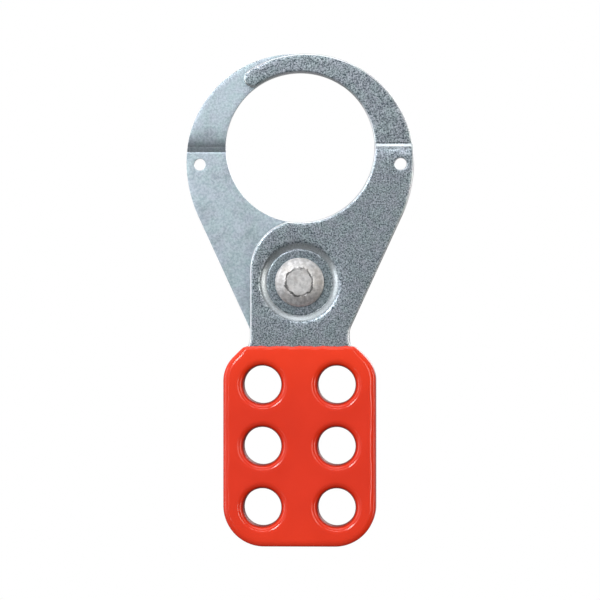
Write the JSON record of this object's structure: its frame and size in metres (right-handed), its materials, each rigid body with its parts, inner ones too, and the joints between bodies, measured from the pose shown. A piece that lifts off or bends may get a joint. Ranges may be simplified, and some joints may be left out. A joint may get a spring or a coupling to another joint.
{
  "type": "lockout hasp",
  "caption": "Scissor-action lockout hasp: two joggled steel jaw leaves on one rivet, with dip-coated handles whose padlock holes line up when the jaw is shut.",
  "frame": {"origin": "centre of the closed jaw, on the plane between the two leaves", "axes": "+Z from the handles to the jaw, +Y from the front leaf to the back leaf along the rivet, +X to the right seen from the front"},
  "size_m": [0.0582, 0.0086, 0.1254],
  "materials": {
    "zinc_plate": "bright zinc-plated stamped steel, bluish grey with a fine crystalline mottle",
    "rivet_steel": "satin nickel-grey rivet steel, slightly warm",
    "red_vinyl": "glossy dip-moulded red vinyl"
  },
  "bodies": {
    "pivot": {"pivot_rivet": "rivet_steel"},
    "front_half": {"front_leaf": "zinc_plate", "front_grip": "red_vinyl"},
    "back_half": {"back_leaf": "zinc_plate", "back_grip": "red_vinyl"}
  },
  "joints": [
    {"name": "front_leaf_swing", "type": "hinge", "parent": "pivot", "child": "front_half", "pos_m": [0, 0, -0.0343], "axis": [0, 1, 0], "range_deg": [0, 22]},
    {"name": "back_leaf_swing", "type": "hinge", "parent": "pivot", "child": "back_half", "pos_m": [0, 0, -0.0343], "axis": [0, -1, 0], "range_deg": [0, 22]}
  ]
}
